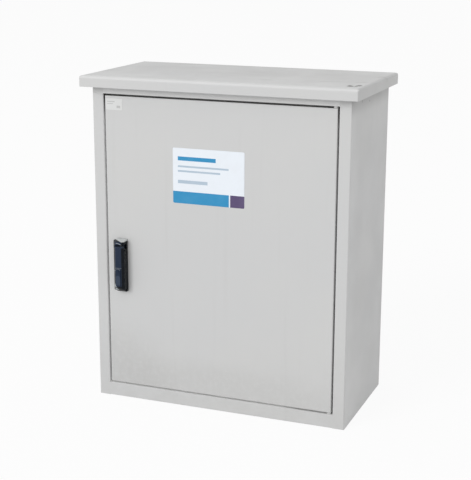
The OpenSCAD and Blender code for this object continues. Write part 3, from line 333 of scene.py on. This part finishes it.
def dentedRoof(name):
    mat, shader, at = startMaterial(name)
    xyz = axes(mat, at)
    colour = coatColour(mat, at, smears=roofLook["smears"])
    flat = span(mat, xyz["Z"], *roofLook["flatZ"])
    dust = calc(mat, "MULTIPLY", flat, patches(mat, at, *roofLook["dust"]))
    dust = calc(mat, "MULTIPLY", dust, span(mat, xyz["Y"], *roofLook["dustY"]))
    colour = tint(mat, dust, colour, coat["dustAndShade"])
    # lighter towards the front of the roof top
    lighterFront = calc(mat, "MULTIPLY", flat, span(mat, xyz["Y"], *roofLook["lighterFrontY"]))
    colour = tint(mat, lighterFront, colour, coat["paintedLight"])
    # painted highlight along the roof's front bend
    bendHighlight = span(mat, xyz["Z"], *roofLook["bendHighlightZ"])
    bendHighlight = calc(mat, "MULTIPLY", bendHighlight, span(mat, xyz["Y"], *roofLook["bendHighlightY"]))
    colour = tint(mat, bendHighlight, colour, coat["paintedLight"])
    # painted shade on the roof's side ends
    colour = tint(mat, span(mat, xyz["X"], *roofLook["sideShadeX"]), colour, coat["dustAndShade"])
    # scuffed paint and painted shade round the dent
    ragged = wander(mat, at, *roofLook["scuffEdge"])
    for middle, reach, turn, amount in roofLook["scuffs"]:
        oval = smear(mat, ragged, middle, reach, turn, roofLook["scuffCore"])
        dark = calc(mat, "MULTIPLY", oval, patches(mat, at, *roofLook["scuffBreaks"]), amount)
        colour = tint(mat, dark, colour, coat["chipAndDentShade"])
    coatShader(mat, shader, at, colour)
    return mat


roofCoat = dentedRoof("roof_coat")
print("powder coat done")


# plated, bare and worked metals inside the cabinet
metals = {  # clean tone, worn tone, scale of the mottle, roughness
    "zinc_plate": ((0.56, 0.57, 0.585, 1), (0.44, 0.45, 0.47, 1), 60, (0.28, 0.46)),
    "galvanised_sheet": ((0.55, 0.565, 0.58, 1), (0.475, 0.490, 0.508, 1), 85, (0.34, 0.50)),
    "dull_copper": ((0.60, 0.30, 0.17, 1), (0.33, 0.16, 0.10, 1), 45, (0.26, 0.52)),
    "lock_brass": ((0.66, 0.57, 0.34, 1), (0.42, 0.35, 0.20, 1), 90, (0.20, 0.40)),
}
metalWear = {
    "mottleDetail": (5, 0.65),
    "mottleEdges": (0.25, 0.75),
    "wornScale": 0.35,  # of the mottle's scale
    "wornDetail": (4, 0.6),
    "wornEdges": (0.58, 0.78, 0, 0.45),
    "roughEdges": (0.3, 0.7),
    "grainSize": (1, 1, 40),
    "grain": (60, 2),
    "grainBump": (0.08, 0.0003),
}


def bareMetal(name, spangle=False):
    tone, wornTone, scale, rough = metals[name]
    mat, shader, at = startMaterial(name)
    shader.inputs["Metallic"].default_value = 1.0
    if spangle:  # crystals of a hot-dipped sheet
        cells = addNode(mat, "TexVoronoi", {"Vector": at, "Scale": scale}).outputs["Color"]
        mottle = addNode(mat, "SeparateColor", {0: cells}).outputs[0]
    else:
        mottle = noiseAt(mat, at, scale, *metalWear["mottleDetail"])
    worn = noiseAt(mat, at, scale * metalWear["wornScale"], *metalWear["wornDetail"])
    colour = tint(mat, span(mat, mottle, *metalWear["mottleEdges"]), tone, wornTone)
    colour = tint(mat, span(mat, worn, *metalWear["wornEdges"]), colour, wornTone)
    plug(mat, shader.inputs["Base Color"], colour)
    plug(mat, shader.inputs["Roughness"], span(mat, worn, *metalWear["roughEdges"], *rough))
    grain = noiseAt(mat, stretched(mat, at, metalWear["grainSize"]), *metalWear["grain"])
    raised(mat, shader, grain, *metalWear["grainBump"])
    return mat


zincSteel = bareMetal("zinc_plate")
galvanised = bareMetal("galvanised_sheet", spangle=True)
dullCopper = bareMetal("dull_copper")
lockBrass = bareMetal("lock_brass")


# black foam and rubber seals, nylon bushes
rubbers = {  # tone, dusty tone, scale of the grain, roughness
    "seal_rubber": ((0.022, 0.022, 0.023, 1), (0.070, 0.068, 0.064, 1), 700, 0.72),
    "bush_nylon": ((0.66, 0.63, 0.54, 1), (0.46, 0.43, 0.36, 1), 400, 0.42),
}
rubberLook = {
    "dust": ((55, 5, 0.65), (0.45, 0.75, 0, 0.5)),
    "roughGain": 0.12,
    "grainDetail": 3,
    "grainBump": (0.25, 0.0004),
}


def matRubber(name):
    tone, dustTone, grain, rough = rubbers[name]
    mat, shader, at = startMaterial(name)
    noise, edges = rubberLook["dust"]
    dust = patches(mat, at, noise, edges)
    plug(mat, shader.inputs["Base Color"], tint(mat, dust, tone, dustTone))
    dulled = span(mat, dust, *edges[2:], rough, rough + rubberLook["roughGain"])  # from least to most dust
    plug(mat, shader.inputs["Roughness"], dulled)
    raised(mat, shader, noiseAt(mat, at, grain, rubberLook["grainDetail"]), *rubberLook["grainBump"])
    return mat


sealRubber = matRubber("seal_rubber")
bushNylon = matRubber("bush_nylon")


# handle: glossy black, with a painted sky reflection on the front and on the sloped top of the base,
# painted highlights at rounded edges, painted light in shaded gaps, and pale spots on the lower end
handleLook = {
    "black": (0.0008, 0.0026, 0.0054, 1),
    "grey": (0.0040, 0.0066, 0.0098, 1),
    # bluish tone for the painted sky reflection on the front face
    "frontSkyReflection": (0.0175, 0.0285, 0.0540, 1),
    "paleBlue": (0.044, 0.060, 0.094, 1),
    "seatGapLight": (0.070, 0.090, 0.125, 1),
    "paleWearAndHighlight": (0.42, 0.45, 0.47, 1),
    "slope": (0.60, 0.62, 0.62, 1),
    "mottle": ((70, 3), (0.35, 0.70)),
    "frontY": (leverLow.y + 0.0025, leverLow.y + 0.0005),
    "frontZ": (leverLow.z + 0.0140, leverLow.z + 0.0195),
    "scratchSize": (230, 230, 70),
    "scratchTurn": (0, 0.6, 0),
    "scratches": (1.0, 5, 0.7),
    "gloss": (0.35, 0.75, 0.14, 0.34),
    "specular": 0.14,
    "ripple": (190, 3),
    "rippleBump": (0.05, 0.0005),
}


def blackHandle(name, addWearAndLight):  # the last argument gives the piece its own dust, wear, pale spots and painted light
    mat, shader, at = startMaterial(name)
    xyz = axes(mat, at)
    colour = tint(mat, patches(mat, at, *handleLook["mottle"]), handleLook["black"], handleLook["grey"])
    # painted sky reflection on the front face
    front = span(mat, xyz["Y"], *handleLook["frontY"])
    front = calc(mat, "MULTIPLY", front, span(mat, xyz["Z"], *handleLook["frontZ"]))
    colour = tint(mat, front, colour, handleLook["frontSkyReflection"])
    turned = stretched(mat, at, handleLook["scratchSize"], handleLook["scratchTurn"])
    scratch = noiseAt(mat, turned, *handleLook["scratches"])
    colour, wearAndHighlight = addWearAndLight(mat, at, colour, front, scratch)
    # pale tone over wear and painted highlights
    plug(mat, shader.inputs["Base Color"], tint(mat, wearAndHighlight, colour, handleLook["paleWearAndHighlight"]))
    plug(mat, shader.inputs["Roughness"], span(mat, scratch, *handleLook["gloss"]))
    shader.inputs["Specular IOR Level"].default_value = handleLook["specular"]
    raised(mat, shader, noiseAt(mat, at, *handleLook["ripple"]), *handleLook["rippleBump"])
    return mat


leverLook = {
    "topZ": (leverLow.z + 0.1372, leverLow.z + 0.1386, 0, 0.8),
    "wearAndHighlight": (0.56, 0.68, 0, 0.30),
    "wearX": (leverLow.x + 0.0265, leverLow.x + 0.0185),
    "wearZ": (leverLow.z + 0.028, leverLow.z),
    # pale spots on the lever's lower left end, and one at its left edge level with the cover's top
    "scuffs": [  # middle, full, none
        ((-0.3238, -0.2288, 0.3709), 0.0028, 0.0062),
        ((-0.3202, -0.2319, 0.3682), 0.0020, 0.0046),
        ((-0.3196, -0.2283, 0.3598), 0.0032, 0.0070),
        ((-0.3160, -0.2262, 0.3575), 0.0022, 0.0052),
        ((-0.3248, -0.2278, 0.4171), 0.0014, 0.0034),
    ],
    "scuffBreaks": ((340, 4, 0.7), (0.36, 0.54)),
    "highlightLineZ": 0.4265,
    "scratch": (0.0017, 0.0006, 0, 0.22),
}


def leverMarksAndLight(mat, at, colour, front, scratch):
    xyz = axes(mat, at)
    # painted light: the lever's top end, in shade under the base's block, is lifted to a paler blue
    colour = tint(mat, span(mat, xyz["Z"], *leverLook["topZ"]), colour, handleLook["paleBlue"])
    low = span(mat, xyz["Z"], *leverLook["wearZ"])
    lockSide = span(mat, xyz["X"], *leverLook["wearX"])
    wearAndHighlight = calc(mat, "MULTIPLY", span(mat, scratch, *leverLook["wearAndHighlight"]), low, lockSide)
    ragged = patches(mat, at, *leverLook["scuffBreaks"])
    for middle, full, none in leverLook["scuffs"]:
        spot = calc(mat, "MULTIPLY", nearPoint(mat, at, middle, full, none), ragged)
        wearAndHighlight = calc(mat, "MAXIMUM", wearAndHighlight, spot)
    # painted highlight: one pale line across the front, just above the cover, where its rounded top
    # catches light
    highlightLine = span(mat, awayFrom(mat, xyz["Z"], leverLook["highlightLineZ"]), *leverLook["scratch"])
    return colour, calc(mat, "MAXIMUM", wearAndHighlight, calc(mat, "MULTIPLY", highlightLine, front))


coverLook = {
    "rimMiddle": (-0.311, -0.2358, 0.4175),
    "rim": (0.0066, 0.0072),
    "rimZ": (0.4195, 0.4225),
    "rimWear": (0.34, 0.52, 0.15, 0.50),
    "paleMiddle": (-0.311, -0.2358, 0.3960),
    "paleBlue": (0.0086, 0.0070),
    "paleTop": (0.3965, 0.3955),
    "paleFoot": (0.3715, 0.3760),
    "paleAmount": 0.85,
}


def coverPatchAndHighlight(mat, at, colour, front, scratch):  # painted highlight round the upper end's rounded edge, a paler blue-grey patch on the lower half
    z = axes(mat, at)["Z"]
    # a paler blue-grey patch on the cover's lower half
    paleBlue = span(mat, distance(mat, at, coverLook["paleMiddle"]), *coverLook["paleBlue"])
    paleBlue = calc(mat, "MAXIMUM", paleBlue, span(mat, z, *coverLook["paleTop"]))
    paleBlue = calc(mat, "MULTIPLY", paleBlue, span(mat, z, *coverLook["paleFoot"]), coverLook["paleAmount"])
    colour = tint(mat, paleBlue, colour, handleLook["paleBlue"])
    # painted highlight on the rounded top edge, broken by the scratch noise
    rim = span(mat, distance(mat, at, coverLook["rimMiddle"]), *coverLook["rim"])
    rim = calc(mat, "MULTIPLY", rim, span(mat, z, *coverLook["rimZ"]))
    return colour, calc(mat, "MULTIPLY", rim, span(mat, scratch, *coverLook["rimWear"]))


baseLook = {
    "seatX": (-0.2980, -0.3030),  # painted light where the lever seats, lifting the shade in the gap behind the lever's top
    "seatY": (-0.2135, -0.2115),
    "seatZ": (0.4700, 0.4800),
    "slopeLean": 0.618,  # painted sky reflection on the sloped top, pale behind a line that slants across it
    "slopeLine": (-0.4185, -0.4160),
    "slopeZ": (0.5075, 0.5084),
    "slopeBreaks": ((300, 4, 0.7), (0.28, 0.46, 0.35, 1.0)),
    "ringMiddle": (-0.3140, 0, 0.4840),  # one round pale arc on the front: a scratch, and a painted highlight on the lever's rounded top edge
    "ringRadius": 0.0205,
    "ring": (0.0011, 0.00044),
    "ringX": (-0.3185, -0.3165, 0, 0.85),
}


def baseMarksAndLight(mat, at, colour, front, scratch):
    xyz = axes(mat, at)
    seat = calc(mat, "MULTIPLY", *[span(mat, xyz[axis], *baseLook["seat" + axis]) for axis in "XYZ"])
    colour = tint(mat, seat, colour, handleLook["seatGapLight"])
    behind = calc(mat, "ADD", xyz["Y"], calc(mat, "MULTIPLY", xyz["X"], baseLook["slopeLean"]))
    slope = span(mat, behind, *baseLook["slopeLine"])
    top = span(mat, xyz["Z"], *baseLook["slopeZ"])
    worn = calc(mat, "MULTIPLY", slope, top, patches(mat, at, *baseLook["slopeBreaks"]))
    # painted sky reflection, with a ragged edge
    colour = tint(mat, worn, colour, handleLook["slope"])
    flat = vectorCalc(mat, "MULTIPLY", at, (1, 0, 1))
    away = awayFrom(mat, distance(mat, flat, baseLook["ringMiddle"]), baseLook["ringRadius"])
    ring = calc(mat, "MULTIPLY", span(mat, away, *baseLook["ring"]), front)
    return colour, calc(mat, "MULTIPLY", ring, span(mat, xyz["X"], *baseLook["ringX"]))


leverBlack = blackHandle("lever_black", leverMarksAndLight)
coverBlack = blackHandle("cover_black", coverPatchAndHighlight)
baseBlack = blackHandle("base_black", baseMarksAndLight)
print("metals, rubber and handle finishes done")

# which finish each piece of the frame takes
finishes = [
    (casingCoat, ["casing_wrap", "upper_pivot_pin", "lower_pivot_pin"]),
    (headCoat, ["top_panel"]),
    (sillCoat, ["floor_panel"]),
    (insideCoat, ["door_stiffeners"]),
    (roofCoat, ["roof_cap"]),
    (doorCoat, ["door_pan"]),
    (galvanised, ["mounting_plate", "gland_plate", "cable_rail", "rail_brackets", "lock_bracket",
                  "upper_rod_guide", "lower_rod_guide"]),
    (zincSteel, ["roof_nuts", "gland_screws", "plate_studs", "plate_nuts", "rail_bolts", "earth_bolts",
                 "pivot_nuts", "handle_screws", "spindle", "pinion", "spindle_screw", "lever_pin",
                 "upper_rod", "lower_rod"]),
    (dullCopper, ["earth_bar"]),
    (lockBrass, ["lock_cylinder", "lock_plug"]),
    (sealRubber, ["roof_seal", "gland_gasket", "cable_grommets", "door_seal", "handle_gasket",
                  "earth_supports"]),
    (bushNylon, ["upper_pivot_bush", "lower_pivot_bush"]),
    (leverBlack, ["handle_lever", "cover_rivet"]),
    (coverBlack, ["dust_cover"]),
    (baseBlack, ["handle_base"]),
]
for finish, names in finishes:
    for name in names:
        nodes[name].data.materials.clear()
        nodes[name].data.materials.append(finish)
print("finishes set on", sum(len(names) for finish, names in finishes), "pieces")


# printed cards on the door: the large sign and the small plate
printLook = {
    "fade": ((22, 4, 0.6), (0.40, 0.72, 0, 0.35)),
    "nicks": ((260, 4, 0.7), (0.66, 0.74, 0, 0.5)),
    "roughGain": 0.16,
    "grain": (380, 2),
    "grainBump": (0.04, 0.0003),
}
inks = {  # tone, worn tone, roughness
    "card_white": ((0.825, 0.872, 0.930, 1), (0.760, 0.790, 0.830, 1), 0.30),
    "card_blue": ((0.0150, 0.262, 0.520, 1), (0.060, 0.320, 0.560, 1), 0.32),
    "card_violet": ((0.085, 0.056, 0.150, 1), (0.140, 0.110, 0.200, 1), 0.32),
    "card_grey": ((0.440, 0.540, 0.640, 1), (0.560, 0.640, 0.720, 1), 0.34),
    "plate_grey": ((0.700, 0.704, 0.700, 1), (0.640, 0.640, 0.630, 1), 0.36),
    "plate_ink": ((0.500, 0.500, 0.495, 1), (0.580, 0.580, 0.575, 1), 0.40),
}


def printFinish(name):
    tone, wornTone, rough = inks[name]
    mat, shader, at = startMaterial(name)
    noise, edges = printLook["fade"]
    fade = patches(mat, at, noise, edges)
    worn = calc(mat, "MAXIMUM", fade, patches(mat, at, *printLook["nicks"]))
    plug(mat, shader.inputs["Base Color"], tint(mat, worn, tone, wornTone))
    dulled = span(mat, fade, *edges[2:], rough, rough + printLook["roughGain"])
    plug(mat, shader.inputs["Roughness"], dulled)
    raised(mat, shader, noiseAt(mat, at, *printLook["grain"]), *printLook["grainBump"])
    return mat


cardSink = 0.00005  # how far a card's back is let into the door's face
signCard = {
    "fromLeft": 0.2190,
    "fromTop": 0.1415,
    "width": 0.225,
    "height": 0.165,
    "corner": 0.004,
    "proud": 0.0007,
    "inks": ["card_white", "card_blue", "card_violet", "card_grey"],
    "print": [  # left, low, right, high from the card's lower left, and which ink
        (0.000, 0.000, 0.177, 0.036, 1),
        (0.181, 0.000, 0.225, 0.036, 2),
        (0.016, 0.128, 0.136, 0.140, 1),
        (0.016, 0.108, 0.176, 0.1135, 3),
        (0.016, 0.094, 0.150, 0.0995, 3),
        (0.016, 0.060, 0.110, 0.070, 3),
    ],
}
plateCard = {
    "fromLeft": 0.0025,
    "fromTop": 0.0080,
    "width": 0.054,
    "height": 0.034,
    "corner": 0.003,
    "proud": 0.0005,
    "inks": ["plate_grey", "plate_ink"],
    "print": [
        (0.005, 0.0235, 0.030, 0.0262, 1),
        (0.005, 0.0175, 0.024, 0.0195, 1),
        (0.036, 0.006, 0.048, 0.0135, 1),
    ],
}


def meshObject(name, bm, materials):
    mesh = bpy.data.meshes.new(name)
    bm.to_mesh(mesh)
    bm.free()
    for material in materials:
        mesh.materials.append(material)
    made = bpy.data.objects.new(name, mesh)
    scene.collection.objects.link(made)
    return made


def scoreFace(bm, spot, across):
    every = bm.verts[:] + bm.edges[:] + bm.faces[:]
    bmesh.ops.bisect_plane(bm, geom=every, plane_co=Vector(across) * spot, plane_no=across)


def pressCard(name, card):
    left = doorLow.x + card["fromLeft"]
    right = left + card["width"]
    high = doorHigh.z - card["fromTop"]
    low = high - card["height"]
    face = doorFace - card["proud"]
    bm = bmesh.new()
    outline = ((left, low), (right, low), (right, high), (left, high))
    corners = [bm.verts.new((x, face, z)) for x, z in outline]
    bm.faces.new(corners)
    bmesh.ops.bevel(bm, geom=corners, offset=card["corner"], affect="VERTICES", segments=6,
                    profile=0.5, material=-1)
    for x0, z0, x1, z1, ink in card["print"]:  # cut the face along the edges of each print
        for spot in (left + x0, left + x1):
            scoreFace(bm, spot, (1, 0, 0))
        for spot in (low + z0, low + z1):
            scoreFace(bm, spot, (0, 0, 1))
    for part in bm.faces:
        mid = part.calc_center_median()
        for x0, z0, x1, z1, ink in card["print"]:
            if x0 < mid.x - left < x1 and z0 < mid.z - low < z1:
                part.material_index = ink
    front = bm.faces[:]
    grown = bmesh.ops.extrude_face_region(bm, geom=front, use_keep_orig=True)["geom"]
    back = [item for item in grown if isinstance(item, bmesh.types.BMVert)]
    bmesh.ops.translate(bm, verts=back, vec=(0, card["proud"] + cardSink, 0))
    for part in bm.faces:
        if part not in front:
            part.material_index = 0
    bmesh.ops.recalc_face_normals(bm, faces=bm.faces[:])
    made = meshObject(name, bm, [printFinish(ink) for ink in card["inks"]])
    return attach(made, "door")


pressCard("door_sign", signCard)
pressCard("door_plate", plateCard)
print("sign and plate done")


# white floor and soft light
stageLook = {
    "floorHalf": 60.0,
    "drop": 0.0004,
    "floorTone": (0.95, 0.95, 0.95, 1),
    "white": (1, 1, 1, 1),
    "glow": 0.91,  # share of plain white where the floor is looked at, the rest takes the shadow
    "ambient": 0.63,
}


def seenDirectly(mat):
    path = mat.node_tree.nodes.new("ShaderNodeLightPath").outputs
    return calc(mat, "MAXIMUM", path["Is Camera Ray"], path["Is Glossy Ray"], path["Is Transmission Ray"])


def floorFinish(name):
    mat = bpy.data.materials.new(name)
    mat.use_nodes = True
    tree = mat.node_tree
    tree.nodes.remove(tree.nodes["Principled BSDF"])
    matte = addNode(mat, "BsdfDiffuse", {"Color": stageLook["floorTone"]})
    glow = addNode(mat, "Emission", {"Color": stageLook["white"], "Strength": 1.0})
    share = calc(mat, "MULTIPLY", seenDirectly(mat), stageLook["glow"])
    both = addNode(mat, "MixShader", {0: share, 1: matte.outputs[0], 2: glow.outputs[0]})
    plug(mat, tree.nodes["Material Output"].inputs["Surface"], both.outputs[0])
    return mat


floorMesh = bmesh.new()
bmesh.ops.create_grid(floorMesh, x_segments=1, y_segments=1, size=stageLook["floorHalf"])
bmesh.ops.translate(floorMesh, verts=floorMesh.verts[:], vec=(0, 0, -stageLook["drop"]))
meshObject("floor", floorMesh, [floorFinish("floor")])

world = bpy.data.worlds.new("studio")
world.use_nodes = True
scene.world = world
sky = world.node_tree.nodes["Background"]
sky.inputs["Color"].default_value = stageLook["white"]
plug(world, sky.inputs["Strength"], span(world, seenDirectly(world), 0, 1, stageLook["ambient"], 1.0))

keyLamp = {"place": (-7.0, -15.5, 8.8), "aim": (0, 0, 0.5), "size": 9.0, "power": 1370}
lampData = bpy.data.lights.new("key", "AREA")
lampData.shape = "SQUARE"
lampData.size = keyLamp["size"]
lampData.energy = keyLamp["power"]
lamp = bpy.data.objects.new("key", lampData)
lamp.location = keyLamp["place"]
lamp.rotation_euler = (Vector(keyLamp["aim"]) - lamp.location).to_track_quat("-Z", "Y").to_euler()
scene.collection.objects.link(lamp)
print("stage and light done")

# camera at the photograph's angle, for a picture of 471 x 480
shot = {
    "place": (1.29566, -3.36167, 1.41469),
    "turn": (75.5992, -0.1440, 21.4194),  # degrees about x, y and z
    "lens": 90.0423,
    "sensor": 36.0,
    "farthest": 200,
}
camData = bpy.data.cameras.new("camera")
camData.lens = shot["lens"]
camData.sensor_width = shot["sensor"]
camData.clip_end = shot["farthest"]
cam = bpy.data.objects.new("camera", camData)
camTurn = Euler([radians(angle) for angle in shot["turn"]])
cam.matrix_world = Matrix.LocRotScale(Vector(shot["place"]), camTurn, None)
scene.collection.objects.link(cam)
scene.camera = cam
